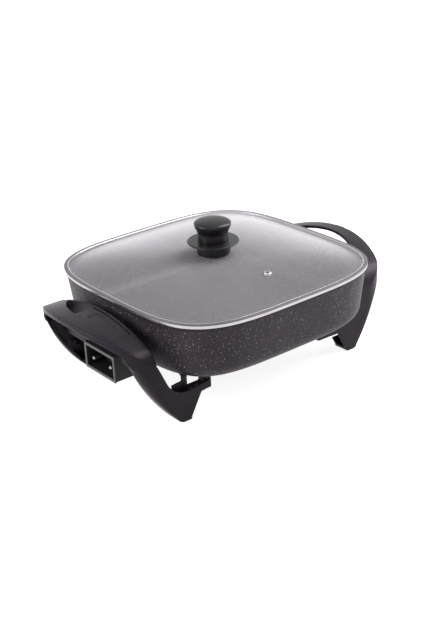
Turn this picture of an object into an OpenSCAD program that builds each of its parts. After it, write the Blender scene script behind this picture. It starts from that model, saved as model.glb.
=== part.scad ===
// Square electric skillet: a coated cast pan on two moulded handles with legs, a heating
// element with its plug inlet, and a loose glass lid in a steel rim.
// +X points to the plain handle, -X to the inlet handle, +Z up. The origin is on the table
// under the centre of the pan. All sizes are in millimetres.

/* [Outline] */
// Width of the square lid over its steel rim
lid_w = 320; // [280:1:360]
// How square the outline is: the exponent of its superellipse
squareness = 3.83; // [3:0.01:5]

/* [Pan] */
// Height of the pan's lip above the table
lip_z = 126; // [116:1:140]
// Depth of the pan from its lip to its underside
pan_h = 71; // [60:1:76]
// Thickness of the pan's wall and floor
pan_wall = 4; // [3:0.1:5]
// Slope of the pan's wall
pan_draft = 6.9; // [4:0.1:10]
// Outside radius between wall and floor
pan_corner_r = 21; // [14:1:26]
// How far the wall stands inside the lid's edge at the lip
pan_inset = 2.2; // [1.8:0.1:6]
// How far the lip reaches out from the wall
lip_reach = 1.2; // [0.6:0.1:1.6]
// Height of the lip's outer face
lip_h = 3; // [2:0.1:5]

/* [Heating element] */
// Diameter of the sheathed element
element_d = 7; // [6:0.1:8]
// Height of the element and the inlet's pins above the table
element_z = 50.5; // [49:0.1:51.5]
// Length of the element's loop along X
loop_l = 172; // [140:1:190]
// Width of the element's loop along Y
loop_w = 196; // [160:1:210]
// Bend radius at the loop's four corners
loop_r = 30; // [20:1:40]
// Width of the cast ridge that holds the element
ridge_w = 13; // [11:0.1:16]

/* [Inlet] */
// Distance between the two pins
pin_pitch = 35; // [31:0.1:40]
// Diameter of a pin
pin_d = 4.5; // [3.5:0.1:5.5]
// Length of a pin's free end, beyond its thicker root
pin_l = 20.5; // [17:0.1:21.5]
// Outside diameter of the thermostat's well
well_d = 8.5; // [7.5:0.1:10]
// Bore of the thermostat's well
well_bore = 6.5; // [5:0.1:7]
// Width of the inlet's shroud
inlet_w = 61; // [56:1:66]
// Height of the inlet's shroud
inlet_h = 32; // [28:1:33]
// Depth of the inlet's shroud
inlet_l = 25; // [21:0.5:26]
// Wall of the inlet's shroud
inlet_wall = 2.5; // [2:0.1:3.5]

/* [Handles] */
// Reach of each handle beyond the lid's edge
grip_out = 59.5; // [54:0.5:66]
// Width of the grip at its middle
grip_w = 20; // [18:0.5:23]
// Width of each handle across its legs
handle_w = 214; // [200:1:226]
// Plan radius of the grip's outer edge
plan_r = 185; // [170:1:210]
// Plan radius of the handle's two shoulders
shoulder_r = 38; // [34:1:44]
// Height of the grip's arch above the table
arch_top = 119.5; // [115:0.5:121]
// Radius of the grip's arch
arch_r = 235; // [200:1:280]
// Radius of the bend from the arch down into each leg
bend_r = 28; // [25:1:33]
// How far the grip's outer edge drops below its inner edge
grip_crown = 1; // [0:0.1:3]
// Radius of the finger gap's outer side
gap_r = 97; // [90:1:110]
// Thickness of the grip's top
grip_t = 4; // [3:0.1:5]
// Depth of the lip along the grip's edge
grip_lip = 6; // [5:0.1:8]
// Thickness of the moulded walls
shell_t = 3; // [2.4:0.1:3.6]
// Gap between the lid's edge and the handle's inner wall
wall_gap = 9.5; // [7:0.1:12]
// Depth of the handle's inner wall
inner_wall_h = 28; // [18:1:34]

/* [Legs] */
// Width of each leg along Y
leg_w = 22; // [19:0.5:25]
// Radius of the leg's outer sweep
leg_sweep_r = 245; // [220:1:280]
// Length of the foot along X
foot_l = 11; // [9:0.5:14]
// Thickness of a foot's rubber pad
pad_t = 2.5; // [1.5:0.1:3.5]
// Width of the flange that stiffens the leg's outer edge
flange_w = 20; // [17:0.5:22]
// Height of the closed foot
foot_h = 15; // [11:0.5:18]
// Height of the arm under the pan
arm_z = 38.5; // [37:0.5:40]
// Radius of the window above the arm
window_r = 30; // [24:1:34]
// How far the window's top stands outside the lid's edge, on the inlet handle
window_out = 10.8; // [8:0.1:13]
// The same on the plain handle, where it is negative because the plate is wider
plain_window_out = -6; // [-8:0.1:-3]
// How far the arm's end stands inside the lid's edge, on the inlet handle
arm_inset = 64.5; // [60:0.5:66]
// The same on the plain handle
plain_arm_inset = 84; // [76:0.5:88]

/* [Lid] */
// Height of the lid's steel rim
rim_h = 5.6; // [5:0.1:7]
// Thickness of the steel
rim_t = 0.8; // [0.6:0.1:1.2]
// Width of the steel rim on the glass
rim_w = 6.2; // [5:0.1:8]
// Thickness of the glass
glass_t = 4; // [3:0.1:4.4]
// Rise of the glass from its edge to its middle
dome_rise = 9.9; // [6:0.1:16]
// Diameter of the vent's eyelet
vent_d = 10; // [8:0.1:12]

/* [Knob] */
// Widest diameter of the knob
knob_d = 46; // [40:0.5:52]
// Height of the knob's head
knob_h = 27.7; // [25:0.1:32]
// Diameter of the finger guard
guard_d = 65; // [58:0.5:72]
// Diameter of the knob's base
base_d = 41.4; // [37:0.1:46]
// Height of the knob's base
base_h = 13.3; // [11:0.1:18]
// Diameter of the knob's neck
neck_d = 37.8; // [34:0.1:42]

/* [Hidden] */
$fn = 64;

// Clearances: between parts that are pressed or screwed together, round a shaft in its
// hole, and between the lid and the pan that it rests on
seat = 0.3;
fit = 0.05;
rest_gap = 0.3;
// A cut reaches this far past the face that it opens
over = 1;

half = lid_w / 2;
outline_steps = 80;

// Pan
pan_z = lip_z - pan_h;
corner_z = pan_z + pan_corner_r;
inner_r = pan_corner_r - pan_wall;
floor_z = pan_z + pan_wall;
// Inset of the pan's outer wall at height z, and of the centre of its bottom corner
function wall_inset(z) = pan_inset + (lip_z - z) * tan(pan_draft);
corner_touch_z = corner_z - pan_corner_r * sin(pan_draft);
corner_inset = wall_inset(corner_touch_z) + pan_corner_r * cos(pan_draft);
inner_touch_z = corner_z - inner_r * sin(pan_draft);
wall_step = pan_wall / cos(pan_draft);

// Screw posts between the pan and the legs' arms
post_inset = 33;
post_x = half - post_inset;
post_y = handle_w / 2 - leg_w / 2;
post_d = 7.2;
post_split_z = arm_z + 9;
screw_d = 4;
screw_head_d = 7.4;
screw_head_h = 1.9;
shelf_drop = 8.5;
shelf_z = arm_z - shelf_drop;
shelf_t = 3.5;
rib_l = 18;
rib_t = 3;
rib_rise = 12.5;
shelf_end_x = post_x + rib_l + 2;
inner_bend_r = 14;
lip_bend_r = 16;
// The legs' outer corners, seen from above: their radius grows from the foot to the shoulder
toe_r = 2;
leg_r = 22;
leg_top_z = 80;
leg_levels = [-1, 10, 20, 30, 40, 50, 60, 70, leg_top_z, arch_top + 1];
leg_opening = 2.2;

// Handle, drawn on the +X side
grip_x = half + grip_out;
wall_in_x = half + wall_gap;
wall_out_x = wall_in_x + shell_t + 0.5;
leg_in_y = handle_w / 2 - leg_w;
flange_y = handle_w / 2 - flange_w;
arch_cz = arch_top - arch_r;
plan_cx = grip_x - plan_r;
gap_cx = grip_x - grip_w - gap_r;
foot_inset = 22;
foot_out_x = half - foot_inset;
foot_in_x = foot_out_x - foot_l;
foot_lean = 17;
toe_out = 2.8;
knee_out = 34.8;
knee_z = 84;
knee = [half + knee_out, knee_z];
// Centre of the leg's sweep, which passes the foot's outer edge and the knee
toe = [foot_out_x + toe_out, 0];
sweep_mid = (toe + knee) / 2;
sweep_dir = knee - toe;
sweep_off = sqrt(leg_sweep_r ^ 2 - (norm(sweep_dir) / 2) ^ 2);
sweep_c = sweep_mid + sweep_off * [-sweep_dir.y, sweep_dir.x] / norm(sweep_dir);
// The flare that carries the leg's outer side out to the grip
flare_r = 26;
flare_a = -21.7;
flare_c = sweep_c + (leg_sweep_r + flare_r) * [cos(flare_a), sin(flare_a)];
flare_slope = 25;
// The window's upright side leans by this angle from level
window_lean = 65.8;
window_z = 86;
window_run = (window_z - arm_z - window_r * (1 - cos(window_lean))) / tan(window_lean);
// The arm rises by this much towards its end
arm_rise = 2.5;
// Height down to which the handle's inner wall runs inside the legs
inner_wall_z = 70;

// Inlet
pin_root_inset = 26;
pin_root_x = -(half - pin_root_inset);
bead_l = 6;
bead_d = 8;
element_end_x = pin_root_x + bead_l;
pin_root_d = pin_d + 1;
inlet_out = 17;
inlet_front_x = -(half + inlet_out);
inlet_back_x = inlet_front_x + inlet_l;
pin_shoulder_x = inlet_back_x - inlet_wall;
inlet_mid_z = element_z + 2;
inlet_top_z = inlet_mid_z + inlet_h / 2;
frame_t = 1.5;
frame_lap = 0.7;
well_mouth_x = -half;
well_l = 62;
well_end_x = -(half - well_l);
block_w = 16;
tongue_w = 40;
tongue_h = 11;
web_w = inlet_w + 11;
web_flare = 10;
web_lap = 8;
cover_end_y = 12;
cover_drop = 1.5;
pocket_depth = 1.6;
pocket_rim = 5;
pocket_near_y = -48;
pocket_far_y = -4;

// Lid
rim_z = lip_z + rest_gap;
glass_z = rim_z + rim_t;
glass_inset = 1.6;
land_inset = 12;
glass_top_z = glass_z + glass_t + dome_rise;
skirt_inset = pan_inset + wall_step + 0.9;
skirt_h = 3.5;
vent_x = 10;
vent_inset = 71;
vent_y = -(half - vent_inset);
vent_bore = 4;
knob_screw_d = 5;
gasket_t = 1;
washer_d = 22;
washer_t = 1.2;
base_z = glass_top_z + gasket_t;
guard_z = base_z + base_h;
guard_t = 3;
head_z = guard_z + guard_t;

// The lid's outline, moved inwards by inset and then scaled about the middle
function spow(v, e) = sign(v) * pow(abs(v), e);
function outline(inset, scale = 1) = [
    for (i = [0:outline_steps - 1])
        let (
            t = 360 * (i + 0.5) / outline_steps,
            p = half * [spow(cos(t), 2 / squareness), spow(sin(t), 2 / squareness)],
            g = [spow(p.x / half, squareness - 1), spow(p.y / half, squareness - 1)]
        )
        scale * (p - inset * g / norm(g))
];
function arc(c, r, a0, a1, n) = [
    for (i = [0:n]) let (a = a0 + (a1 - a0) * i / n) c + r * [cos(a), sin(a)]
];
function flip_y(points) = [
    for (i = [len(points) - 1:-1:0]) [points[i].x, -points[i].y]
];
// A round cap of radius r about the origin, closed by sides at +-w with rounded shoulders
// and cut off square at x = base
function cap(r, w, shoulder, base) =
    let (
        c = [sqrt((r - shoulder) ^ 2 - (w - shoulder) ^ 2), w - shoulder],
        a = atan2(c.y, c.x),
        side = concat(arc([0, 0], r, 0.5, a, 9), arc(c, shoulder, a + 4, 90, 9), [[base, w]])
    )
    concat(flip_y(side), side);

// Skins a stack of rings of points. A closed stack joins its last ring to its first one;
// an open stack is capped at both ends.
module skin(rings, closed = false) {
    n = len(rings[0]);
    m = len(rings);
    sides = [
        for (k = [0:closed ? m - 1 : m - 2]) for (i = [0:n - 1])
            let (
                a = k * n + i,
                b = k * n + (i + 1) % n,
                c = (k + 1) % m * n + (i + 1) % n,
                d = (k + 1) % m * n + i
            )
            each [[a, c, b], [a, d, c]]
    ];
    caps = closed ? [] : [[for (i = [0:n - 1]) i], [for (i = [n - 1:-1:0]) (m - 1) * n + i]];
    polyhedron([for (r = rings) each r], concat(sides, caps));
}
// The same for rings that follow the outline, each [inset, z] or [inset, z, scale]
module loft(rings, closed = false) {
    skin(
        [for (r = rings) [for (p = outline(r[0], len(r) > 2 ? r[2] : 1)) [p.x, p.y, r[1]]]],
        closed
    );
}
module along_x(x0, x1) {
    translate([x0, 0, 0])
        rotate([90, 0, 90])
            linear_extrude(x1 - x0)
                children();
}
module along_y(y0, y1) {
    translate([0, y1, 0])
        rotate([90, 0, 0])
            linear_extrude(y1 - y0)
                children();
}
module box(x0, x1, y0, y1, z0, z1) {
    translate([x0, y0, z0])
        cube([x1 - x0, y1 - y0, z1 - z0]);
}
module rod_x(x0, x1, d, y = 0, z = 0) {
    translate([x0, y, z])
        rotate([0, 90, 0])
            cylinder(h = x1 - x0, d = d);
}
module rod_z(z0, z1, d) {
    translate([0, 0, z0])
        cylinder(h = z1 - z0, d = d);
}
// The four corners of the pan's posts and feet, numbered round from -X -Y
corners = [[-1, -1], [1, -1], [1, 1], [-1, 1]];
module at_corner(i, x, y) {
    translate([corners[i].x * x, corners[i].y * y, 0])
        children();
}

// One quarter bend of the element's route, about c, from angle a through 90 degrees
module bend(c, r, a) {
    translate([c.x, c.y, element_z])
        rotate([0, 0, a])
            rotate_extrude(angle = 90)
                translate([r, 0])
                    children();
}
module run(p, q) {
    translate([p.x, p.y, element_z])
        rotate([90, 0, atan2(q.y - p.y, q.x - p.x) + 90])
            linear_extrude(norm(q - p))
                children();
}
// Half of the element's route, with the section that is given as its child
module route(start_x) {
    lead_y = pin_pitch / 2;
    lead_r = 14;
    x0 = -loop_l / 2;
    y1 = loop_w / 2;
    run([start_x, lead_y], [x0 - lead_r, lead_y]) children();
    bend([x0 - lead_r, lead_y + lead_r], lead_r, -90) children();
    run([x0, lead_y + lead_r], [x0, y1 - loop_r]) children();
    bend([x0 + loop_r, y1 - loop_r], loop_r, 90) children();
    run([x0 + loop_r, y1], [-x0 - loop_r, y1]) children();
    bend([-x0 - loop_r, y1 - loop_r], loop_r, 0) children();
    run([-x0, y1 - loop_r], [-x0, 0]) children();
}
module whole_route(start_x) {
    route(start_x) children();
    mirror([0, 1, 0])
        route(start_x) children();
}

module pan_shell() {
    corner_steps = 7;
    loft([
        for (i = [0:corner_steps]) let (a = -90 + (90 - pan_draft) * i / corner_steps)
            [corner_inset - pan_corner_r * cos(a), corner_z + pan_corner_r * sin(a)],
        [wall_inset(lip_z - lip_h - 1), lip_z - lip_h - 1],
        [pan_inset - lip_reach / 2, lip_z - lip_h - 0.3],
        [pan_inset - lip_reach + 0.4, lip_z - lip_h],
        [pan_inset - lip_reach, lip_z - lip_h + 0.5],
        [pan_inset - lip_reach, lip_z - 0.8],
        [pan_inset - lip_reach + 0.7, lip_z],
        [pan_inset + wall_step - 1, lip_z],
        [pan_inset + wall_step, lip_z - 1],
        for (i = [corner_steps:-1:0]) let (a = -90 + (90 - pan_draft) * i / corner_steps)
            [corner_inset - inner_r * cos(a), corner_z + inner_r * sin(a)]
    ]);
}
module pan() {
    color([0.29, 0.27, 0.3])
        difference() {
            union() {
                pan_shell();
                intersection() {
                    whole_route(element_end_x + 4)
                        translate([-ridge_w / 2, -1.5])
                            square([ridge_w, pan_z - element_z + 2.5]);
                    box(-half, half, -half, half, 0, pan_z + 1);
                }
                box(element_end_x + 4, well_end_x, -block_w / 2, block_w / 2,
                    element_z - block_w / 2 + 2, pan_z + 1);
                for (i = [0:3])
                    at_corner(i, post_x, post_y)
                        rod_z(post_split_z + seat, pan_z + pan_wall / 2 + 0.5, post_d);
            }
            whole_route(-half)
                circle(d = element_d + 2 * fit);
            rod_x(-half, well_end_x - 2, well_d + 2 * fit, 0, element_z);
            for (i = [0:3])
                at_corner(i, post_x, post_y)
                    rod_z(0, pan_z + pan_wall / 2, screw_d + 2 * fit);
        }
}
module heating_element() {
    color([0.45, 0.44, 0.42])
        whole_route(element_end_x)
            circle(d = element_d);
}
module terminal_pin(side) {
    color([0.8, 0.8, 0.8])
        translate([0, side * pin_pitch / 2, element_z]) {
            rod_x(pin_shoulder_x, element_end_x, pin_root_d);
            rod_x(pin_shoulder_x - pin_l, pin_shoulder_x + over, pin_d);
            translate([pin_shoulder_x - pin_l, 0, 0])
                rotate([0, -90, 0])
                    cylinder(h = 1, d1 = pin_d, d2 = pin_d - 1.6);
        }
}
module terminal_bead(side) {
    color([0.9, 0.88, 0.82])
        translate([0, side * pin_pitch / 2, element_z])
            difference() {
                rod_x(pin_root_x, element_end_x, bead_d);
                rod_x(pin_root_x - over, element_end_x + over, pin_root_d + 2 * fit);
            }
}
module thermostat_well() {
    color([0.7, 0.7, 0.68])
        difference() {
            rod_x(well_mouth_x, well_end_x - 2, well_d, 0, element_z);
            rod_x(well_mouth_x - over, well_end_x - 4, well_bore, 0, element_z);
        }
}

module inlet_shroud() {
    color([0.08, 0.08, 0.09])
        difference() {
            union() {
                box(inlet_front_x, inlet_back_x, -inlet_w / 2, inlet_w / 2,
                    inlet_mid_z - inlet_h / 2, inlet_top_z);
                box(-wall_in_x + fit, -wall_in_x + inlet_wall + fit,
                    -tongue_w / 2, tongue_w / 2, inlet_top_z - over, inlet_top_z + tongue_h);
            }
            box(inlet_front_x - over, inlet_back_x - inlet_wall,
                -inlet_w / 2 + inlet_wall, inlet_w / 2 - inlet_wall,
                inlet_mid_z - inlet_h / 2 + inlet_wall, inlet_top_z - inlet_wall);
            for (y = [-pin_pitch / 2, pin_pitch / 2])
                rod_x(inlet_back_x - inlet_wall - over, inlet_back_x + over, pin_root_d + 2 * seat,
                    y, element_z);
            rod_x(inlet_back_x - inlet_wall - over, inlet_back_x + over, well_d + 2 * seat,
                0, element_z);
        }
}
module inlet_frame() {
    color([0.45, 0.45, 0.45])
        difference() {
            box(inlet_front_x - frame_t, inlet_front_x,
                -inlet_w / 2 - frame_lap, inlet_w / 2 + frame_lap,
                inlet_mid_z - inlet_h / 2 - frame_lap, inlet_top_z + frame_lap);
            box(inlet_front_x - frame_t - over, inlet_front_x + over,
                -inlet_w / 2 + inlet_wall, inlet_w / 2 - inlet_wall,
                inlet_mid_z - inlet_h / 2 + inlet_wall, inlet_top_z - inlet_wall);
        }
}
// The space under the grip's arch, lowered by drop; the outer part leans by the crown
module arch_space(drop) {
    crown_x = grip_x - grip_w;
    crown_l = grip_w + 10;
    translate([0, 0, arch_cz]) {
        rod_x(0, crown_x, 2 * (arch_r - drop));
        translate([crown_x, 0, 0])
            rotate([0, 90, 0])
                cylinder(h = crown_l, r1 = arch_r - drop,
                    r2 = arch_r - drop - grip_crown * crown_l / grip_w);
    }
}
module plan_space(inset) {
    translate([plan_cx, 0, 0])
        linear_extrude(arch_top + over)
            polygon(cap(plan_r - inset, handle_w / 2 - inset, shoulder_r - inset, -plan_cx));
}
module gap_plan(inset) {
    intersection() {
        translate([gap_cx, 0])
            circle(r = gap_r - inset, $fn = 120);
        translate([wall_out_x + inset, -gap_r])
            square([grip_out, 2 * gap_r]);
    }
}
// Side view of the handle: the leg's sweep and flare outside, the window and arm inside.
// The arm ends at arm_x in a lip that reaches up to lip_top.
function sweep_angle(z, r) = asin((z - sweep_c.y) / r);
module handle_side(window_x, arm_x, lip_top) {
    flare_end = flare_c + flare_r * [cos(90 + flare_slope), sin(90 + flare_slope)];
    window_c = [window_x - window_run - window_r * sin(window_lean), arm_z + window_r];
    plate_x = min(wall_in_x, window_x);
    top = arch_top + over;
    polygon(concat(
        arc(sweep_c, leg_sweep_r, sweep_angle(pad_t, leg_sweep_r), flare_a, 12),
        arc(flare_c, flare_r, 180 + flare_a - 8, 90 + flare_slope, 6),
        [
            flare_end + grip_w * [1, tan(flare_slope)],
            [grip_x + grip_w, top],
            [plate_x, top],
            [plate_x, window_z - (window_x - plate_x) * tan(window_lean)]
        ],
        arc(window_c, window_r, window_lean - 90, -90, 8),
        [
            [arm_x + shell_t, arm_z + arm_rise],
            [arm_x + shell_t, lip_top],
            [arm_x, lip_top],
            [arm_x, shelf_z + 1],
            [foot_in_x - foot_lean, shelf_z],
            [foot_in_x - foot_lean * pad_t / shelf_z, pad_t]
        ]
    ));
}
// Side view of the channel inside a leg, which the shelf of the arm divides
module channel_side(wall_x, arm_x, bottom_z) {
    inner_r = leg_sweep_r - shell_t;
    polygon(concat(
        arc(sweep_c, inner_r, sweep_angle(bottom_z, inner_r), sweep_angle(arch_top, inner_r), 16),
        [
            [wall_x, arch_top],
            [wall_x, inner_wall_z],
            [arm_x + shell_t, inner_wall_z],
            [arm_x + shell_t, shelf_z + shelf_t],
            [shelf_end_x, shelf_z + shelf_t],
            [shelf_end_x, shelf_z],
            [arm_x + shell_t, shelf_z],
            [arm_x + shell_t, bottom_z]
        ]
    ));
}
// Cross-section of the space under the arch, w wide each way, from base_z up
module under_arch(drop, x0, x1, w, shoulder, base_z) {
    r = arch_r - drop;
    translate([0, 0, arch_cz])
        along_x(x0, x1)
            rotate(90)
                polygon(cap(r, w, shoulder, base_z - arch_cz));
}
// The space inside the legs' rounded outside, which widens above leg_top_z to free the grip
module leg_space(inset) {
    skin([
        for (z = leg_levels)
            let (
                low_z = min(z, leg_top_z),
                front_x = sweep_c.x + leg_sweep_r * cos(sweep_angle(low_z, leg_sweep_r))
                    + (z - low_z) * leg_opening,
                r = toe_r + (leg_r - toe_r) * low_z / leg_top_z,
                bend = arc([front_x - r, handle_w / 2 - r], r - min(inset, r - 1), 0, 90, 7)
            )
            [for (p = concat(flip_y(bend), bend, [[0, handle_w / 2 - inset], [0, inset - handle_w / 2]]))
                [p.x, p.y, z]]
    ]);
}
// The outer solid of a handle: its plan, its side view and its rounded arch together
module handle_body(window_x, arm_x, lip_top) {
    intersection() {
        plan_space(0);
        leg_space(0);
        along_y(-handle_w / 2, handle_w / 2) handle_side(window_x, arm_x, lip_top);
        arch_space(0);
        under_arch(0, 0, grip_x + over, handle_w / 2, bend_r, -over);
    }
}
module handle_shell(window_x, arm_x, lip_top) {
    channel_x = min(wall_out_x, window_x + shell_t);
    difference() {
        handle_body(window_x, arm_x, lip_top);
        // Under the grip, inside its lip
        intersection() {
            plan_space(shell_t);
            arch_space(grip_t);
            under_arch(grip_t, wall_out_x, grip_x, flange_y, bend_r - grip_t, foot_h);
        }
        // Between the legs: below the lip, below the inner wall, and on the pan's side
        under_arch(grip_lip + grip_crown, wall_out_x, grip_x + over, flange_y, lip_bend_r, foot_h);
        under_arch(inner_wall_h, shelf_end_x, wall_out_x + over, flange_y, inner_bend_r, foot_h);
        under_arch(inner_wall_h, arm_x - over, grip_x, leg_in_y, inner_bend_r, -over);
        box(arm_x - over, wall_in_x, -leg_in_y, leg_in_y, 0, arch_top + over);
        // Inside the legs, whose channels are open on their inner side above the foot
        intersection() {
            plan_space(shell_t);
            leg_space(shell_t);
            union() {
                for (s = [-1, 1]) {
                    translate([0, s * (leg_in_y + shell_t + leg_w / 2), 0])
                        along_y(-leg_w / 2, leg_w / 2)
                            channel_side(channel_x, arm_x, pad_t + shell_t);
                    translate([0, s * (leg_in_y + leg_w / 2 - over), 0])
                        along_y(-leg_w / 2, leg_w / 2)
                            channel_side(channel_x, arm_x, foot_h);
                }
            }
            arch_space(grip_t);
            under_arch(grip_t, 0, grip_x, handle_w / 2 - shell_t, bend_r - shell_t, 0);
        }
        linear_extrude(arch_top + over) gap_plan(0);
        for (s = [-1, 1])
            translate([(foot_in_x + foot_out_x) / 2, s * post_y, 0])
                rod_z(0, pad_t + shell_t + over, 5 + 2 * fit);
        for (s = [-1, 1])
            translate([post_x, s * post_y, 0]) {
                rod_z(shelf_z - over, shelf_z + shelf_t + over, screw_d + 0.4);
                rod_z(shelf_z - over, shelf_z + screw_head_h + 0.1, screw_head_d + 0.6);
            }
    }
    for (s = [-1, 1])
        translate([post_x, s * post_y, 0])
            screw_boss();
}
// The boss on the arm's shelf, with the rib that braces it
module screw_boss() {
    difference() {
        union() {
            rod_z(shelf_z + shelf_t, post_split_z, post_d);
            along_y(-rib_t / 2, rib_t / 2)
                polygon([[0, shelf_z + shelf_t], [rib_l, shelf_z + shelf_t],
                    [rib_l, shelf_z + shelf_t + rib_rise], [post_d / 2, post_split_z - seat],
                    [0, post_split_z - seat]]);
        }
        rod_z(shelf_z, post_split_z + over, screw_d + 0.4);
    }
}
module handle_right() {
    color([0.16, 0.15, 0.17])
        handle_shell(half + plain_window_out, half - plain_arm_inset, arm_z + arm_rise);
}
module handle_left() {
    web_z = inlet_top_z + seat;
    web_top_z = arch_top - inner_wall_h;
    web_y = web_w / 2 + web_flare;
    color([0.16, 0.15, 0.17])
        mirror([1, 0, 0]) {
            handle_shell(half + window_out, half - arm_inset, pan_z - seat);
            along_x(wall_in_x, wall_out_x)
                polygon([[-web_w / 2, web_z], [web_w / 2, web_z], [web_y, web_top_z],
                    [web_y, web_top_z + web_lap], [-web_y, web_top_z + web_lap],
                    [-web_y, web_top_z]]);
        }
}
module inlet_cover() {
    color([0.2, 0.18, 0.2])
        mirror([1, 0, 0])
            difference() {
                intersection() {
                    linear_extrude(arch_top) gap_plan(seat);
                    arch_space(cover_drop);
                    box(0, grip_x, -handle_w / 2, cover_end_y, 0, arch_top);
                }
                arch_space(cover_drop + shell_t);
                // The scooped pocket in its top
                difference() {
                    intersection() {
                        linear_extrude(arch_top) gap_plan(seat + pocket_rim);
                        box(0, grip_x, pocket_near_y, pocket_far_y, 0, arch_top);
                    }
                    arch_space(cover_drop + pocket_depth);
                }
            }
}
module handle_screw(i) {
    color([0.7, 0.7, 0.7])
        at_corner(i, post_x, post_y) {
            rod_z(shelf_z, shelf_z + screw_head_h, screw_head_d);
            rod_z(shelf_z, pan_z + pan_wall / 2 - 0.5, screw_d);
        }
}
module foot_pad(i) {
    s = corners[i].y;
    color([0.06, 0.06, 0.06])
        mirror([corners[i].x < 0 ? 1 : 0, 0, 0])
            translate([0, s * post_y, 0]) {
                along_y(-leg_w / 2, leg_w / 2)
                    polygon([[foot_in_x, 0], [foot_out_x, 0],
                        [sweep_c.x + leg_sweep_r * cos(sweep_angle(pad_t, leg_sweep_r)), pad_t],
                        [foot_in_x - foot_lean * pad_t / shelf_z, pad_t]]);
                translate([(foot_in_x + foot_out_x) / 2, 0, 0])
                    rod_z(pad_t - over, pad_t + shell_t, 5);
            }
}

// Height of the glass above its edge, at a share s of the way out
function dome(s) = dome_rise * (1 - pow(s, 2.4));
module lid_glass() {
    scales = [1, 0.93, 0.85, 0.76, 0.66, 0.55, 0.43, 0.3, 0.16, 0.04];
    last = len(scales) - 1;
    vent_s = norm([vent_x, vent_y]) / (half - land_inset);
    vent_low = glass_z + dome(vent_s + vent_d / 2 / half);
    vent_high = glass_z + dome(vent_s + vent_d / 2 / half) + glass_t;
    color([0.75, 0.75, 0.78, 0.35])
        difference() {
            loft([
                for (i = [last:-1:0]) [land_inset, glass_z + dome(scales[i]), scales[i]],
                [glass_inset, glass_z],
                [glass_inset, glass_z + glass_t],
                for (s = scales) [land_inset, glass_z + glass_t + dome(s), s]
            ]);
            rod_z(glass_z, glass_top_z + over, 10);
            rod_z(glass_z, glass_top_z - glass_t, washer_d + 2 * seat);
            translate([vent_x, vent_y, 0]) {
                rod_z(glass_z, glass_top_z + over, 6.2);
                rod_z(glass_z - over, vent_low + 0.9, vent_d);
                rod_z(vent_high, glass_top_z + over, vent_d + 2 * seat);
            }
        }
}
module lid_rim() {
    top = rim_z + rim_h;
    color([0.85, 0.85, 0.86])
        loft([
            [0, rim_z],
            [0, top - 0.9],
            [0.9, top],
            [rim_w, top],
            [rim_w, glass_z + glass_t],
            [glass_inset - 0.4, glass_z + glass_t],
            [glass_inset - 0.4, glass_z],
            [skirt_inset + rim_t, glass_z],
            [skirt_inset + rim_t, rim_z - skirt_h],
            [skirt_inset, rim_z - skirt_h],
            [skirt_inset, rim_z]
        ], closed = true);
}
module knob_gasket() {
    color([0.1, 0.1, 0.1])
        difference() {
            union() {
                rod_z(glass_top_z, base_z, base_d - 6);
                rod_z(glass_top_z - glass_t, glass_top_z + 0.5, 10 - 2 * fit);
            }
            rod_z(0, base_z + over, knob_screw_d + 2 * fit);
        }
}
module knob_base() {
    color([0.1, 0.1, 0.11])
        rotate_extrude()
            polygon([[knob_screw_d / 2 + 0.2, base_z], [base_d / 2 - 1, base_z],
                [base_d / 2, base_z + 1], [base_d / 2 - 0.6, guard_z],
                [knob_screw_d / 2 + 0.2, guard_z]]);
}
module knob_guard() {
    color([0.12, 0.12, 0.13])
        rotate_extrude()
            polygon([[knob_screw_d / 2 + 0.2, guard_z], [base_d / 2, guard_z],
                [guard_d / 2 - 1.5, guard_z + 0.4], [guard_d / 2 - 0.3, guard_z + 1],
                [guard_d / 2, guard_z + 1.8], [guard_d / 2 - 0.4, guard_z + 2.6],
                [guard_d / 2 - 2, guard_z + guard_t], [knob_screw_d / 2 + 0.2, head_z]]);
}
// A straight neck, an S-curve out to the widest ring, and a flat elliptical crown
module knob_head() {
    neck_r = neck_d / 2;
    neck_l = 9;
    crown_h = 5.8;
    widest_z = head_z + knob_h - crown_h;
    color([0.1, 0.1, 0.11])
        difference() {
            rotate_extrude()
                polygon(concat(
                    [[0, head_z], [neck_r, head_z]],
                    [for (i = [0:8]) let (t = i / 8)
                        [neck_r + (knob_d / 2 - neck_r) * (1 - cos(180 * t)) / 2,
                            head_z + neck_l + (widest_z - head_z - neck_l) * t]],
                    [for (a = [10:10:80]) [knob_d / 2 * cos(a), widest_z + crown_h * sin(a)]],
                    [[0, head_z + knob_h]]
                ));
            rod_z(head_z - over, head_z + 20, knob_screw_d + 2 * fit);
        }
}
module knob_washer() {
    color([0.8, 0.8, 0.8])
        difference() {
            rod_z(glass_top_z - glass_t - washer_t, glass_top_z - glass_t, washer_d);
            rod_z(0, glass_top_z, knob_screw_d + 2 * fit);
        }
}
module knob_screw() {
    head_top = glass_top_z - glass_t - washer_t;
    color([0.75, 0.75, 0.75]) {
        rod_z(head_top - 2.6, head_top, 9);
        rod_z(head_top - 1, head_z + 19, knob_screw_d);
    }
}
module vent_eyelet() {
    vent_s = norm([vent_x, vent_y]) / (half - land_inset);
    vent_low = glass_z + dome(vent_s + vent_d / 2 / half) + 0.9;
    vent_high = glass_z + dome(vent_s + vent_d / 2 / half) + glass_t;
    color([0.85, 0.85, 0.86])
        translate([vent_x, vent_y, 0])
            rotate_extrude()
                polygon([[vent_bore / 2, vent_low - 0.7], [vent_d / 2 - 0.6, vent_low - 0.7],
                    [vent_d / 2 - 0.6, vent_low], [3, vent_low], [3, vent_high],
                    [vent_d / 2, vent_high], [vent_d / 2 - 0.4, vent_high + 0.9],
                    [vent_bore / 2 + 0.6, vent_high + 1.1], [vent_bore / 2, vent_high + 0.5]]);
}

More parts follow.
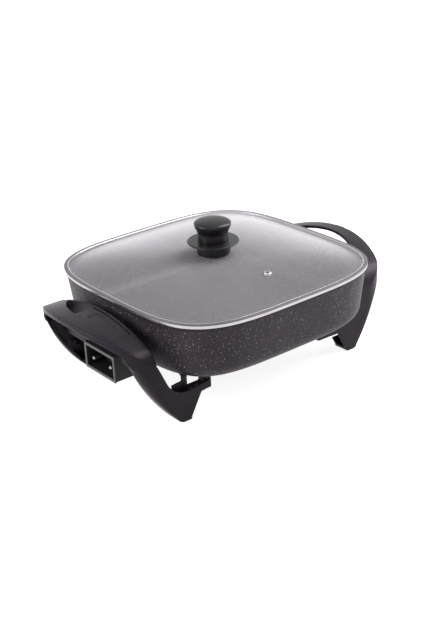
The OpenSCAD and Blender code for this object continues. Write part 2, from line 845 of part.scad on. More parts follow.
pan();
heating_element();
terminal_pin(-1);  // terminal_pin_near
terminal_pin(1);  // terminal_pin_far
terminal_bead(-1);  // terminal_bead_near
terminal_bead(1);  // terminal_bead_far
thermostat_well();
inlet_shroud();
inlet_frame();
inlet_cover();
handle_left();
handle_right();
for (i = [0:3]) handle_screw(i);
for (i = [0:3]) foot_pad(i);
lid_glass();
lid_rim();
knob_gasket();
knob_base();
knob_guard();
knob_head();
knob_washer();
knob_screw();
vent_eyelet();
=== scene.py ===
import math

import bmesh
import bpy
from mathutils import Matrix, Vector


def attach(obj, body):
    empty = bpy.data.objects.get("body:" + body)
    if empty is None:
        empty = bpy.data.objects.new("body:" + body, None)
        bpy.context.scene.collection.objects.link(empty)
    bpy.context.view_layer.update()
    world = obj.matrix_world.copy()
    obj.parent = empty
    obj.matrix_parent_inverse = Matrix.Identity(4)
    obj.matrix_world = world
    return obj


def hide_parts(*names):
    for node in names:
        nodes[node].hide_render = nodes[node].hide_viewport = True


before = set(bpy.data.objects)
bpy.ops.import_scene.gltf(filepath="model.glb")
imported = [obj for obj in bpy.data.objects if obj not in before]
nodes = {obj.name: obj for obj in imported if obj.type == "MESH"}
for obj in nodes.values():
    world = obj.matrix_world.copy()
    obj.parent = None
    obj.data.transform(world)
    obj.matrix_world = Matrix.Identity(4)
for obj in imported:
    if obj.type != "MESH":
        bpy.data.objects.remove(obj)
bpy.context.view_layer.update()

# All sizes below are in millimetres. MM turns them into Blender's metres.
MM = 0.001

# Lid outline and pan
half = 160.0
squareness = 3.83
lip_z = 126.0
pan_z = 55.0
pan_wall = 4.0
floor_z = pan_z + pan_wall
pan_draft = math.radians(6.9)
pan_corner_r = 21.0
pan_inset = 2.2
lip_reach = 1.2
lip_h = 3.0
outline_steps = 320

# Element and inlet
element_z = 50.5
loop_l = 172.0
loop_w = 196.0
loop_r = 30.0
ridge_w = 13.0
lead_end_x = -129.0
ridge_end_x = -124.0
well_bore_r = 4.3
pin_pitch = 35.0
inlet_h = 32.0
inlet_mid_z = element_z + 2
inlet_top_z = inlet_mid_z + inlet_h / 2

# Handles and legs
grip_x = half + 59.5
grip_w = 20.0
handle_w = 214.0
plan_r = 185.0
plan_cx = grip_x - plan_r
shoulder_r = 38.0
shoulder_y = handle_w / 2 - shoulder_r
shoulder_x = plan_cx + math.sqrt((plan_r - shoulder_r) ** 2 - shoulder_y**2)
arch_top = 119.5
arch_r = 235.0
arch_cz = arch_top - arch_r
bend_r = 28.0
grip_crown = 1.0
gap_r = 97.0
grip_t = 4.0
grip_lip = 6.0
cover_gap = 0.3
cover_drop = 1.5
cover_t = 3.0
pocket_inset = 5.3
pocket_drop = 3.1
shell_t = 3.0
wall_in_x = half + 9.5
wall_out_x = wall_in_x + shell_t + 0.5
inner_wall_h = 28.0
inner_wall_z = 70.0
inner_bend_r = 14.0
lip_bend_r = 16.0
leg_w = 22.0
leg_in_y = handle_w / 2 - leg_w
leg_sweep_r = 245.0
flange_y = handle_w / 2 - 20
leg_corner_r = 22.0
leg_top_z = 80.0
toe_r = 2.0
foot_h = 15.0
pad_t = 2.5
arm_z = 38.5
arm_rise = 2.5
window_r = 30.0
window_lean = math.radians(65.8)
window_z = 86.0
right_window_x = half - 6
right_arm_x = half - 84
left_window_x = half + 10.8
left_arm_x = half - 64.5
post_x = half - 33
post_y = 96.0
post_d = 7.2
post_split_z = arm_z + 9
shelf_z = arm_z - 8.5
shelf_t = 3.5
shelf_end_x = post_x + 20
foot_out_x = half - 22
foot_in_x = foot_out_x - 11
foot_back_x = foot_in_x - 17

# Lid and knob
rim_z = 126.3
rim_t = 0.8
rim_w = 6.2
glass_z = rim_z + rim_t
glass_t = 3.0
dome_rise = 10.9
glass_inset = 1.6
land_inset = 12.0
glass_top_z = glass_z + glass_t + dome_rise
skirt_h = 3.5
vent_x = 10.0
vent_y = -89.0
vent_d = 10.0
base_z = glass_top_z + 1
guard_z = base_z + 13.3
head_z = guard_z + 3
knob_h = 27.7


# --- Camera -------------------------------------------------------------------------------


def studio_camera():
    place = (-0.7965, -1.0204, 0.6498)
    azimuth = math.radians(-37.63)
    rise = math.radians(24.643)
    roll = math.radians(-2.806)
    back = Vector((
        math.sin(azimuth) * math.cos(rise),
        -math.cos(azimuth) * math.cos(rise),
        math.sin(rise),
    ))
    level = Vector((math.cos(azimuth), math.sin(azimuth), 0))
    upright = back.cross(level)
    right = level * math.cos(roll) + upright * math.sin(roll)
    up = upright * math.cos(roll) - level * math.sin(roll)
    camera = bpy.data.objects.new("camera", bpy.data.cameras.new("camera"))
    bpy.context.scene.collection.objects.link(camera)
    camera.data.sensor_width = 36
    camera.data.lens = 64.08
    camera.data.clip_start = 0.05
    camera.data.clip_end = 50
    turn = Matrix((right, up, back)).transposed().to_4x4()
    camera.matrix_world = Matrix.Translation(place) @ turn
    bpy.context.scene.camera = camera


# --- Shader maths -------------------------------------------------------------------------


class Value:
    """A shader socket. Python's operators on it add the Math nodes that work it out."""

    def __init__(self, finish, socket):
        self.finish = finish
        self.socket = socket

    def math(self, operation, *others):
        inputs = dict(enumerate((self,) + others))
        return self.finish.node("ShaderNodeMath", {"operation": operation}, inputs)

    def __add__(self, other):
        return self.math("ADD", other)

    def __mul__(self, other):
        return self.math("MULTIPLY", other)

    def __sub__(self, other):
        return self.math("SUBTRACT", other)

    def __rsub__(self, other):
        return self.finish.node("ShaderNodeMath", {"operation": "SUBTRACT"}, {0: other, 1: self})

    def __truediv__(self, other):
        return self.math("DIVIDE", other)

    def __pow__(self, other):
        return self.math("POWER", other)

    __radd__ = __add__
    __rmul__ = __mul__

    def ramp(self, low, high):
        """0 up to low, 1 from high on, and smooth between them."""
        settings = {"interpolation_type": "SMOOTHSTEP"}
        inputs = {"Value": self, "From Min": low, "From Max": high}
        return self.finish.node("ShaderNodeMapRange", settings, inputs)


class Finish:
    """A material that is built up in code from one Principled shader."""

    def __init__(self, name, **values):
        self.material = bpy.data.materials.new(name)
        self.material.use_nodes = True
        self.tree = self.material.node_tree
        self.tree.nodes.clear()
        self.output = self.tree.nodes.new("ShaderNodeOutputMaterial")
        self.shader = self.tree.nodes.new("ShaderNodeBsdfPrincipled")
        self.tree.links.new(self.shader.outputs[0], self.output.inputs["Surface"])
        self.set(**values)

    def put(self, socket, value):
        if isinstance(value, Value):
            self.tree.links.new(value.socket, socket)
        elif hasattr(socket.default_value, "__len__") and len(value) < len(socket.default_value):
            socket.default_value = (*value, 1)
        else:
            socket.default_value = value

    def set(self, **values):
        for name, value in values.items():
            self.put(self.shader.inputs[name.replace("_", " ")], value)

    def node(self, kind, settings=None, inputs=None, out=0):
        node = self.tree.nodes.new(kind)
        for name, value in (settings or {}).items():
            setattr(node, name, value)
        for name, value in (inputs or {}).items():
            self.put(node.inputs[name], value)
        return Value(self, node.outputs[out])

    def place(self):
        """The point on the piece, in metres, which moves with the piece."""
        return self.node("ShaderNodeTexCoord", out="Object")

    def axis(self, name):
        return self.node("ShaderNodeSeparateXYZ", inputs={0: self.place()}, out=name)

    def stretched(self, x, y, z):
        settings = {"operation": "MULTIPLY"}
        return self.node("ShaderNodeVectorMath", settings, {0: self.place(), 1: (x, y, z)})

    def noise(self, size, detail=2, at=None, roughness=0.5):
        """Soft noise whose patches are about size millimetres wide."""
        inputs = {
            "Vector": at or self.place(),
            "Scale": 1 / (size * MM),
            "Detail": detail,
            "Roughness": roughness,
        }
        return self.node("ShaderNodeTexNoise", inputs=inputs, out="Fac")

    def specks(self, cell, radius, share):
        """Round specks, radius millimetres at most, in a share of the cells."""
        inputs = {"Vector": self.place(), "Scale": 1 / (cell * MM)}
        near = self.node("ShaderNodeTexVoronoi", inputs=inputs, out="Distance")
        own = self.node("ShaderNodeTexVoronoi", inputs=inputs, out="Color")
        pick = self.node("ShaderNodeSeparateColor", inputs={0: own})
        size = radius / cell * (pick - (1 - share)) / share
        return (size - near).ramp(-0.03, 0.05)

    def mix(self, share, low, high):
        """The colour low where share is 0 and high where it is 1."""
        node = self.tree.nodes.new("ShaderNodeMix")
        node.data_type = "RGBA"
        self.put(node.inputs["Factor"], share)
        self.put(node.inputs[6], low)
        self.put(node.inputs[7], high)
        return Value(self, node.outputs[2])

    def bump(self, height, depth):
        """Relief from a height between 0 and 1 that stands for depth millimetres."""
        inputs = {"Height": height, "Strength": 1.0, "Distance": depth * MM}
        self.set(Normal=self.node("ShaderNodeBump", inputs=inputs))


def stone_coat():
    finish = Finish("stone_coat", Specular_IOR_Level=0.24, Specular_Tint=(1.0, 0.88, 1.0))
    cloud = finish.noise(14, 3)
    grain = finish.noise(1.1, 2, roughness=0.7)
    big = finish.specks(2.3, 0.68, 0.5)
    small = finish.specks(1.6, 0.5, 0.6)
    dust = finish.specks(1.0, 0.32, 0.6)
    ground = finish.mix(cloud.ramp(0.35, 0.65), (0.018, 0.013, 0.018), (0.028, 0.021, 0.028))
    ground = finish.mix(grain.ramp(0.42, 0.75) * 0.6, ground, (0.062, 0.052, 0.064))
    colour = finish.mix(dust * 0.35, ground, (0.20, 0.185, 0.205))
    colour = finish.mix(small * 0.55, colour, (0.26, 0.24, 0.26))
    colour = finish.mix(big * 0.75, colour, (0.42, 0.39, 0.42))
    # Painted shadow: the coat is darkened to near black at the top of the wall, just under the
    # lid's rim, standing for the rim's shadow there.
    edge = (finish.axis("Z") / MM).ramp(120.5, 123.5)
    colour = finish.mix(edge * 0.75, colour, (0.006, 0.0045, 0.006))
    rough = 0.40 + grain * 0.16 - big * 0.08
    finish.set(Base_Color=colour, Roughness=rough)
    finish.bump(grain * 0.5 + big * 0.5 + small * 0.25, 0.02)
    return finish.material


def moulded_plastic():
    """The handles' plastic, with the shallow line moulded round the grips' top, whose colour is
    also darkened as painted shade in its groove.
    """
    finish = Finish("moulded_plastic", Specular_IOR_Level=0.16, Specular_Tint=(1.0, 0.87, 0.98))
    cloud = finish.noise(30, 2)
    grain = finish.noise(0.7, 2)
    x = finish.axis("X").math("ABSOLUTE") / MM
    y = finish.axis("Y").math("ABSOLUTE") / MM
    z = finish.axis("Z") / MM
    front = ((x - plan_cx) ** 2 + y**2) ** 0.5
    shoulder = ((x - shoulder_x) ** 2 + (y - shoulder_y) ** 2) ** 0.5 + (plan_r - shoulder_r)
    side = (y - (x - plan_cx) * (shoulder_y / (shoulder_x - plan_cx))).ramp(-1, 1)
    reach = front + side * (shoulder - front)
    line = reach.ramp(plan_r - 3.6, plan_r - 2.8) * (1 - reach.ramp(plan_r - 2.0, plan_r - 1.2))
    line = line * z.ramp(96, 104)
    colour = finish.mix(cloud.ramp(0.3, 0.7), (0.0115, 0.0085, 0.013), (0.0165, 0.0125, 0.018))
    # Painted shade: the moulded line is darkened in colour as if shaded in its groove; the bump
    # gives its real relief.
    colour = finish.mix(line * 0.7, colour, (0.003, 0.0025, 0.003))
    finish.set(Base_Color=colour, Roughness=0.29 + cloud * 0.08 + grain * 0.05)
    finish.bump(grain * 0.03 + (1 - line), 0.5)
    return finish.material


def knob_plastic():
    finish = Finish("knob_plastic", Specular_IOR_Level=0.3)
    grain = finish.noise(0.6, 2)
    cloud = finish.noise(18, 2)
    colour = finish.mix(cloud, (0.0065, 0.0052, 0.007), (0.0105, 0.009, 0.0115))
    finish.set(Base_Color=colour, Roughness=0.26 + grain * 0.10)
    finish.bump(grain, 0.02)
    return finish.material


def rolled_steel(name, low, high, metal=1.0, specular=0.5):
    finish = Finish(name, Metallic=metal, Specular_IOR_Level=specular)
    brushed = finish.noise(1.6, 3, at=finish.stretched(0.12, 0.12, 3.0))
    cloud = finish.noise(22, 2)
    colour = finish.mix(cloud, low, high)
    finish.set(Base_Color=colour, Roughness=0.17 + brushed * 0.12 + cloud * 0.04)
    finish.bump(brushed, 0.01)
    return finish.material


def clear_glass():
    # Painted reflection: the glass takes a pale, almost white diffuse colour, mixed in more at
    # grazing angles, standing for the white surroundings it reflects; the coat and specular give
    # its real gloss.
    finish = Finish("clear_glass", Base_Color=(0.93, 0.90, 0.94), Metallic=0.0)
    cloud = finish.noise(60, 2)
    finish.set(Roughness=0.38 + cloud * 0.06)
    finish.set(Coat_Weight=0.15, Coat_Roughness=0.04)
    clear = finish.node("ShaderNodeBsdfTransparent", inputs={0: (0.96, 0.96, 0.97)})
    slant = finish.node("ShaderNodeLayerWeight", inputs={"Blend": 0.5}, out="Facing")
    gloss_and_painted_veil = (slant**9 * 3.6 + 0.08).math("MINIMUM", 0.42)
    mixed = finish.node(
        "ShaderNodeMixShader",
        inputs={0: gloss_and_painted_veil, 1: clear, 2: Value(finish, finish.shader.outputs[0])},
    )
    finish.tree.links.new(mixed.socket, finish.output.inputs["Surface"])
    return finish.material


def sheathed_steel():
    finish = Finish("sheathed_steel", Metallic=1.0)
    heat = finish.noise(24, 3)
    grain = finish.noise(0.8, 2)
    colour = finish.mix(heat.ramp(0.3, 0.7), (0.20, 0.18, 0.17), (0.34, 0.31, 0.28))
    finish.set(Base_Color=colour, Roughness=0.38 + heat * 0.12 + grain * 0.06)
    finish.bump(grain, 0.03)
    return finish.material


def plated_metal(name, low, high, rough):
    finish = Finish(name, Metallic=1.0)
    wear = finish.noise(5, 3)
    colour = finish.mix(wear.ramp(0.3, 0.7), low, high)
    finish.set(Base_Color=colour, Roughness=rough + wear * 0.10)
    finish.bump(finish.noise(0.5, 2), 0.01)
    return finish.material


def plain_finish(name, low, high, rough, grain_size=0.8, depth=0.03):
    finish = Finish(name)
    cloud = finish.noise(12, 3)
    grain = finish.noise(grain_size, 2)
    colour = finish.mix(cloud.ramp(0.3, 0.7), low, high)
    finish.set(Base_Color=colour, Roughness=rough + grain * 0.12)
    finish.bump(grain, depth)
    return finish.material


# --- Mesh building ------------------------------------------------------------------------


def new_piece(name, points, faces, scale=MM):
    mesh = bpy.data.meshes.new(name)
    mesh.from_pydata([[c * scale for c in p] for p in points], [], faces)
    mesh.validate()
    mesh.update()
    piece = bpy.data.objects.new(name, mesh)
    bpy.context.scene.collection.objects.link(piece)
    return piece


def smooth(piece, angle=35):
    """Shades the piece smooth, but for edges sharper than the angle in degrees."""
    mesh = piece.data
    mesh.polygons.foreach_set("use_smooth", [True] * len(mesh.polygons))
    mesh.set_sharp_from_angle(angle=math.radians(angle))
    mesh.update()
    return piece


def finish_piece(piece, material, body, replaced=()):
    piece.data.materials.clear()
    piece.data.materials.append(material)
    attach(piece, body)
    if replaced:
        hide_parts(*replaced)


def arc(cx, cy, r, a0, a1, n):
    """n + 1 points round (cx, cy), from angle a0 to a1 in degrees."""
    return [
        (
            cx + r * math.cos(math.radians(a0 + (a1 - a0) * i / n)),
            cy + r * math.sin(math.radians(a0 + (a1 - a0) * i / n)),
        )
        for i in range(n + 1)
    ]


def signed_power(v, e):
    return math.copysign(abs(v) ** e, v)


def even_angles():
    """Angles of the outline at even steps along it."""
    fine = 6000
    ring = []
    for i in range(fine + 1):
        t = 2 * math.pi * i / fine
        ring.append((
            half * signed_power(math.cos(t), 2 / squareness),
            half * signed_power(math.sin(t), 2 / squareness),
        ))
    walked = [0.0]
    for a, b in zip(ring, ring[1:]):
        walked.append(walked[-1] + math.dist(a, b))
    angles = []
    k = 0
    for i in range(outline_steps):
        goal = walked[-1] * (i + 0.5) / outline_steps
        while walked[k + 1] < goal:
            k += 1
        share = (goal - walked[k]) / (walked[k + 1] - walked[k])
        angles.append(2 * math.pi * (k + share) / fine)
    return angles


OUTLINE_ANGLES = even_angles()


def outline(inset, scale=1.0):
    """The lid's outline, moved inwards by inset and then scaled about the middle."""
    points = []
    for t in OUTLINE_ANGLES:
        x = half * signed_power(math.cos(t), 2 / squareness)
        y = half * signed_power(math.sin(t), 2 / squareness)
        gx = signed_power(x / half, squareness - 1)
        gy = signed_power(y / half, squareness - 1)
        g = math.hypot(gx, gy)
        points.append((scale * (x - inset * gx / g), scale * (y - inset * gy / g)))
    return points


def loft(name, rings, closed=False):
    """Skins rings of (inset, z) or (inset, z, scale). An open stack is capped at both ends."""
    n = outline_steps
    points = []
    for ring in rings:
        flat = outline(ring[0], ring[2] if len(ring) > 2 else 1.0)
        points += [(x, y, ring[1]) for x, y in flat]
    faces = []
    count = len(rings)
    for k in range(count if closed else count - 1):
        for i in range(n):
            a = k * n + i
            b = k * n + (i + 1) % n
            c = (k + 1) % count * n + (i + 1) % n
            d = (k + 1) % count * n + i
            faces.append((a, b, c, d))
    if not closed:
        faces.append(tuple(range(n))[::-1])
        faces.append(tuple(range((count - 1) * n, count * n)))
    return new_piece(name, points, faces)


def lathe(name, profile, centre=(0, 0, 0), axis="z", steps=96):
    """Turns a closed profile of (radius, height) about an axis through centre."""
    points = []
    faces = []
    count = len(profile)
    for i in range(steps):
        a = 2 * math.pi * i / steps
        for r, h in profile:
            u, v = r * math.cos(a), r * math.sin(a)
            p = (u, v, h) if axis == "z" else (h, u, v)
            points.append([p[j] + centre[j] for j in range(3)])
    for i in range(steps):
        j = (i + 1) % steps
        for k in range(count):
            m = (k + 1) % count
            faces.append((i * count + k, j * count + k, j * count + m, i * count + m))
    piece = new_piece(name, points, faces)
    weld(piece)
    return piece


def weld(piece, distance=1e-6):
    """Joins points that fall together and turns the faces outwards."""
    mesh = bmesh.new()
    mesh.from_mesh(piece.data)
    bmesh.ops.remove_doubles(mesh, verts=mesh.verts, dist=distance)
    bmesh.ops.dissolve_degenerate(mesh, edges=mesh.edges, dist=distance)
    bmesh.ops.recalc_face_normals(mesh, faces=mesh.faces)
    mesh.to_mesh(piece.data)
    mesh.free()


def rounded(points, radius, steps=5):
    """An open profile with its corners rounded; each corner may have its own radius."""
    out = [points[0]]
    for k in range(1, len(points) - 1):
        r = radius[k - 1] if isinstance(radius, (list, tuple)) else radius
        p, q, s = (Vector(points[k + d]) for d in (-1, 0, 1))
        a, b = (p - q), (s - q)
        reach = min(r, a.length * 0.49, b.length * 0.49)
        if reach < 1e-4:
            out.append(tuple(q))
            continue
        a, b = q + a.normalized() * reach, q + b.normalized() * reach
        for i in range(steps + 1):
            t = i / steps
            out.append(tuple(a * (1 - t) ** 2 + q * 2 * t * (1 - t) + b * t * t))
    out.append(points[-1])
    return out


# --- Solids that are cut and joined, drawn in millimetres ---------------------------------


def prism(points, axis, lo, hi):
    """A flat outline, pushed from lo to hi along an axis. Its plane is xy, xz or yz."""
    place = {
        "z": lambda u, v, w: (u, v, w),
        "y": lambda u, v, w: (u, w, v),
        "x": lambda u, v, w: (w, u, v),
    }[axis]
    n = len(points)
    corners = [place(u, v, w) for w in (lo, hi) for u, v in points]
    faces = [tuple(range(n)), tuple(range(2 * n - 1, n - 1, -1))]
    faces += [(i, i + n, (i + 1) % n + n, (i + 1) % n) for i in range(n)]
    piece = new_piece("solid", corners, faces, 1.0)
    weld(piece, 1e-5)
    return piece


def block(x0, x1, y0, y1, z0, z1):
    return prism([(x0, y0), (x1, y0), (x1, y1), (x0, y1)], "z", z0, z1)


def rod(x, y, z0, z1, d):
    return prism(arc(x, y, d / 2, 0, 360, 48)[:-1], "z", z0, z1)


def turned_x(profile, z, steps=320):
    """Turns a profile of (x, radius) about the line along X at height z."""
    points = []
    faces = []
    count = len(profile)
    for i in range(steps):
        a = 2 * math.pi * (i + 0.5) / steps
        points += [(x, r * math.sin(a), z + r * math.cos(a)) for x, r in profile]
    for i in range(steps):
        j = (i + 1) % steps
        for k in range(count - 1):
            faces.append((i * count + k, j * count + k, j * count + k + 1, i * count + k + 1))
    faces.append(tuple(i * count for i in range(steps)))
    faces.append(tuple(i * count + count - 1 for i in reversed(range(steps))))
    piece = new_piece("solid", points, faces, 1.0)
    weld(piece, 1e-5)
    return piece


def settle(piece):
    """Applies the piece's modifiers to its mesh."""
    graph = bpy.context.evaluated_depsgraph_get()
    mesh = bpy.data.meshes.new_from_object(piece.evaluated_get(graph))
    piece.modifiers.clear()
    old = piece.data
    piece.data = mesh
    bpy.data.meshes.remove(old)
    return piece


def carve(piece, operation, *tools):
    for tool in tools:
        cut = piece.modifiers.new("cut", "BOOLEAN")
        cut.operation = operation
        cut.solver = "EXACT"
        cut.object = tool
        settle(piece)
    for tool in tools:
        bpy.data.objects.remove(tool)
    return piece


def keep(piece, *tools):
    return carve(piece, "INTERSECT", *tools)


def cut(piece, *tools):
    return carve(piece, "DIFFERENCE", *tools)


def join(piece, *tools):
    return carve(piece, "UNION", *tools)


def soften(piece, voxel, passes):
    """Rounds all edges a little, as a mould does, and turns millimetres into metres."""
    remesh = piece.modifiers.new("remesh", "REMESH")
    remesh.mode = "VOXEL"
    remesh.voxel_size = voxel
    ease = piece.modifiers.new("ease", "SMOOTH")
    ease.factor = 0.5
    ease.iterations = passes
    settle(piece)
    piece.data.transform(Matrix.Scale(MM, 4))
    piece.data.polygons.foreach_set("use_smooth", [True] * len(piece.data.polygons))
    piece.data.update()
    return piece


# --- Pan ----------------------------------------------------------------------------------


def wall_inset(z):
    return pan_inset + (lip_z - z) * math.tan(pan_draft)


corner_z = pan_z + pan_corner_r
inner_r = pan_corner_r - pan_wall
touch_z = corner_z - pan_corner_r * math.sin(pan_draft)
corner_inset = wall_inset(touch_z) + pan_corner_r * math.cos(pan_draft)
wall_step = pan_wall / math.cos(pan_draft)


def make_pan(coat):
    steps = 14
    sweep = math.pi / 2 - pan_draft
    turn = [sweep * i / steps - math.pi / 2 for i in range(steps + 1)]
    outer = [
        (corner_inset - pan_corner_r * math.cos(a), corner_z + pan_corner_r * math.sin(a))
        for a in turn
    ]
    inner = [
        (corner_inset - inner_r * math.cos(a), corner_z + inner_r * math.sin(a)) for a in turn
    ]
    levels = (84, 94, 104, 112, 118)
    side = [(wall_inset(z), z) for z in levels]
    lip = rounded(
        [
            side[-1],
            (wall_inset(lip_z - lip_h), lip_z - lip_h),
            (pan_inset - lip_reach, lip_z - lip_h + 0.2),
            (pan_inset - lip_reach, lip_z),
            (pan_inset + wall_step, lip_z),
            (wall_inset(levels[-1]) + wall_step, levels[-1]),
        ],
        [2.2, 0.9, 1.0, 1.4],
        6,
    )
    inside = [(wall_inset(z) + wall_step, z) for z in reversed(levels[:-1])]
    floor = [(corner_inset, pan_z, s) for s in (0.02, 0.3, 0.6, 0.9)]
    rings = floor + outer + side + lip[1:-1] + inside + inner[::-1]
    rings += [(corner_inset, floor_z, s) for s in (0.9, 0.6, 0.3, 0.02)]
    pan = loft("pan_cast", rings)
    weld(pan)
    smooth(pan, 50)
    finish_piece(pan, coat, "base", ["pan"])


def element_route():
    """Points of the element's loop and leads, in millimetres, as (x, y)."""
    lead_y = pin_pitch / 2
    lead_r = 14
    x0 = -loop_l / 2
    y1 = loop_w / 2
    side = [(lead_end_x, lead_y), (x0 - lead_r, lead_y)]
    side += arc(x0 - lead_r, lead_y + lead_r, lead_r, -90, 0, 10)
    side += arc(x0 + loop_r, y1 - loop_r, loop_r, 180, 90, 14)
    side += arc(-x0 - loop_r, y1 - loop_r, loop_r, 90, 0, 14)
    return side + [(x, -y) for x, y in reversed(side)]


def sweep_flat(name, path, section, z):
    """Sweeps a section of (across, up) along a level path."""
    count = len(section)
    points = []
    faces = []
    for k, p in enumerate(path):
        a = Vector(path[max(k - 1, 0)])
        b = Vector(path[min(k + 1, len(path) - 1)])
        along = (b - a).normalized()
        before = (Vector(p) - a).normalized() if k else along
        after = (b - Vector(p)).normalized() if k < len(path) - 1 else along
        stretch = 1 / max(0.5, math.sqrt(max(0.0, (1 + before.dot(after)) / 2)))
        side = Vector((-along.y, along.x)) * stretch
        points += [(p[0] + side.x * u, p[1] + side.y * u, z + v) for u, v in section]
    for k in range(len(path) - 1):
        for i in range(count):
            j = (i + 1) % count
            faces.append((k * count + i, k * count + j, (k + 1) * count + j, (k + 1) * count + i))
    faces.append(tuple(range(count))[::-1])
    faces.append(tuple((len(path) - 1) * count + i for i in range(count)))
    piece = new_piece(name, points, faces)
    weld(piece)
    return piece


def make_underside(coat):
    """The cast ridge that holds the element, the well's block and the four posts."""
    w = ridge_w / 2
    top = pan_z - element_z + 0.6
    route = [p for p in element_route() if p[0] > lead_end_x][1:-1]
    ridge_path = [(ridge_end_x, pin_pitch / 2)] + route + [(ridge_end_x, -pin_pitch / 2)]
    section = rounded([(-w - 0.8, top), (-w, -1.5), (-3.6, -1.5), (-3.6, 0.4)], 1.0, 3)
    section = section + [(-x, y) for x, y in reversed(section)]
    ridge = sweep_flat("element_ridge", ridge_path, section, element_z)
    smooth(ridge, 30)
    finish_piece(ridge, coat, "base")
    saddle = cut(
        block(ridge_end_x, -98, -8, 8, element_z - 6, pan_z + 1),
        turned_x([(-130, well_bore_r), (-100, well_bore_r)], element_z, 48),
    )
    rounding = saddle.modifiers.new("edge", "BEVEL")
    rounding.width = 0.8
    rounding.segments = 3
    rounding.limit_method = "ANGLE"
    settle(saddle)
    saddle.name = "well_saddle"
    saddle.data.transform(Matrix.Scale(MM, 4))
    smooth(saddle, 30)
    finish_piece(saddle, coat, "base")
    bore_r, r = 2.05, post_d / 2
    low_z, top_z = 47.8, 57.4
    number = 0
    for sx in (-1, 1):
        for sy in (-1, 1):
            number += 1
            profile = rounded(
                [(bore_r, low_z), (r, low_z), (r, 53), (r + 3.0, top_z), (bore_r, top_z)],
                [0.5, 3.0, 0.1],
                6,
            )
            post = lathe(f"pan_post_{number}", profile, (sx * post_x, sy * post_y, 0), steps=40)
            smooth(post, 40)
            finish_piece(post, coat, "base")


# --- Handles ------------------------------------------------------------------------------

knee = Vector((half + 34.8, 84.0))
toe = Vector((foot_out_x + 2.8, 0))
sweep_mid = (knee + toe) / 2
sweep_dir = knee - toe
sweep_off = math.sqrt(leg_sweep_r**2 - (sweep_dir.length / 2) ** 2)
sweep_c = sweep_mid + sweep_off * Vector((-sweep_dir.y, sweep_dir.x)) / sweep_dir.length
flare_r = 26.0
flare_a = -21.7
flare_slope = 25.0
flare_c = sweep_c + (leg_sweep_r + flare_r) * Vector(
    (math.cos(math.radians(flare_a)), math.sin(math.radians(flare_a)))
)
window_run = (window_z - arm_z - window_r * (1 - math.cos(window_lean))) / math.tan(window_lean)


def sweep_angle(z, r):
    return math.degrees(math.asin((z - sweep_c.y) / r))


def cap(r, w, shoulder, base):
    """A round cap about the origin, closed by sides at +-w with rounded shoulders."""
    cx = math.sqrt((r - shoulder) ** 2 - (w - shoulder) ** 2)
    cy = w - shoulder
    a = math.degrees(math.atan2(cy, cx))
    side = arc(0, 0, r, 0.5, a, 40) + arc(cx, cy, shoulder, a + 1.5, 90, 36) + [(base, w)]
    return [(x, -y) for x, y in reversed(side)] + side


def arch_space(drop):
    crown_x = grip_x - grip_w
    crown_l = grip_w + 10
    r = arch_r - drop
    end_r = r - grip_crown * crown_l / grip_w
    return turned_x([(0, r), (crown_x, r), (crown_x + crown_l, end_r)], arch_cz)


def plan_space(inset):
    flat = cap(plan_r - inset, handle_w / 2 - inset, shoulder_r - inset, -plan_cx)
    return prism([(x + plan_cx, y) for x, y in flat], "z", 0, arch_top + 1)


def leg_space(inset):
    """The space inside the legs' rounded outside, which widens above them to free the grip."""
    widening = 2.2
    rings = []
    for z in (-1, *range(0, 81, 5), arch_top + 1):
        low_z = min(z, leg_top_z)
        front_x = sweep_c.x + leg_sweep_r * math.cos(math.radians(sweep_angle(low_z, leg_sweep_r)))
        front_x += (z - low_z) * widening
        r = toe_r + (leg_corner_r - toe_r) * low_z / leg_top_z
        bend = arc(front_x - r, handle_w / 2 - r, r - min(inset, r - 1), 0, 90, 16)
        side = bend + [(0, handle_w / 2 - inset)]
        rings.append([(x, -y, z) for x, y in reversed(side)] + [(x, y, z) for x, y in side])
    n = len(rings[0])
    points = [p for ring in rings for p in ring]
    faces = [tuple(range(n)), tuple(range((len(rings) - 1) * n, len(rings) * n))]
    for k in range(len(rings) - 1):
        for i in range(n):
            j = (i + 1) % n
            faces.append((k * n + i, k * n + j, k * n + n + j, k * n + n + i))
    piece = new_piece("solid", points, faces, 1.0)
    weld(piece, 1e-5)
    return piece


def gap_plan(inset):
    r = gap_r - inset
    cx = grip_x - grip_w - gap_r
    x = wall_out_x + inset
    a = math.degrees(math.acos((x - cx) / r))
    return arc(cx, 0, r, -a, a, 48)


def handle_side(window_x, arm_x, lip_top):
    """Side view of a handle: the leg's sweep and flare, the window and the arm."""
    top = arch_top + 1
    start = sweep_angle(pad_t, leg_sweep_r)
    points = arc(*sweep_c, leg_sweep_r, start, flare_a, 40)
    points += arc(*flare_c, flare_r, 180 + flare_a - 2, 90 + flare_slope, 20)
    end = Vector(points[-1])
    points.append(tuple(end + grip_w * Vector((1, math.tan(math.radians(flare_slope))))))
    plate_x = min(wall_in_x, window_x)
    low = window_z - (window_x - plate_x) * math.tan(window_lean)
    points += [(grip_x + grip_w, top), (plate_x, top), (plate_x, low)]
    window_cx = window_x - window_run - window_r * math.sin(window_lean)
    points += arc(window_cx, arm_z + window_r, window_r, math.degrees(window_lean) - 90, -90, 24)
    points += [
        (arm_x + shell_t, arm_z + arm_rise),
        (arm_x + shell_t, lip_top),
        (arm_x, lip_top),
        (arm_x, shelf_z + 1),
        (foot_back_x, shelf_z),
        (foot_in_x + (foot_back_x - foot_in_x) * pad_t / shelf_z, pad_t),
    ]
    return points


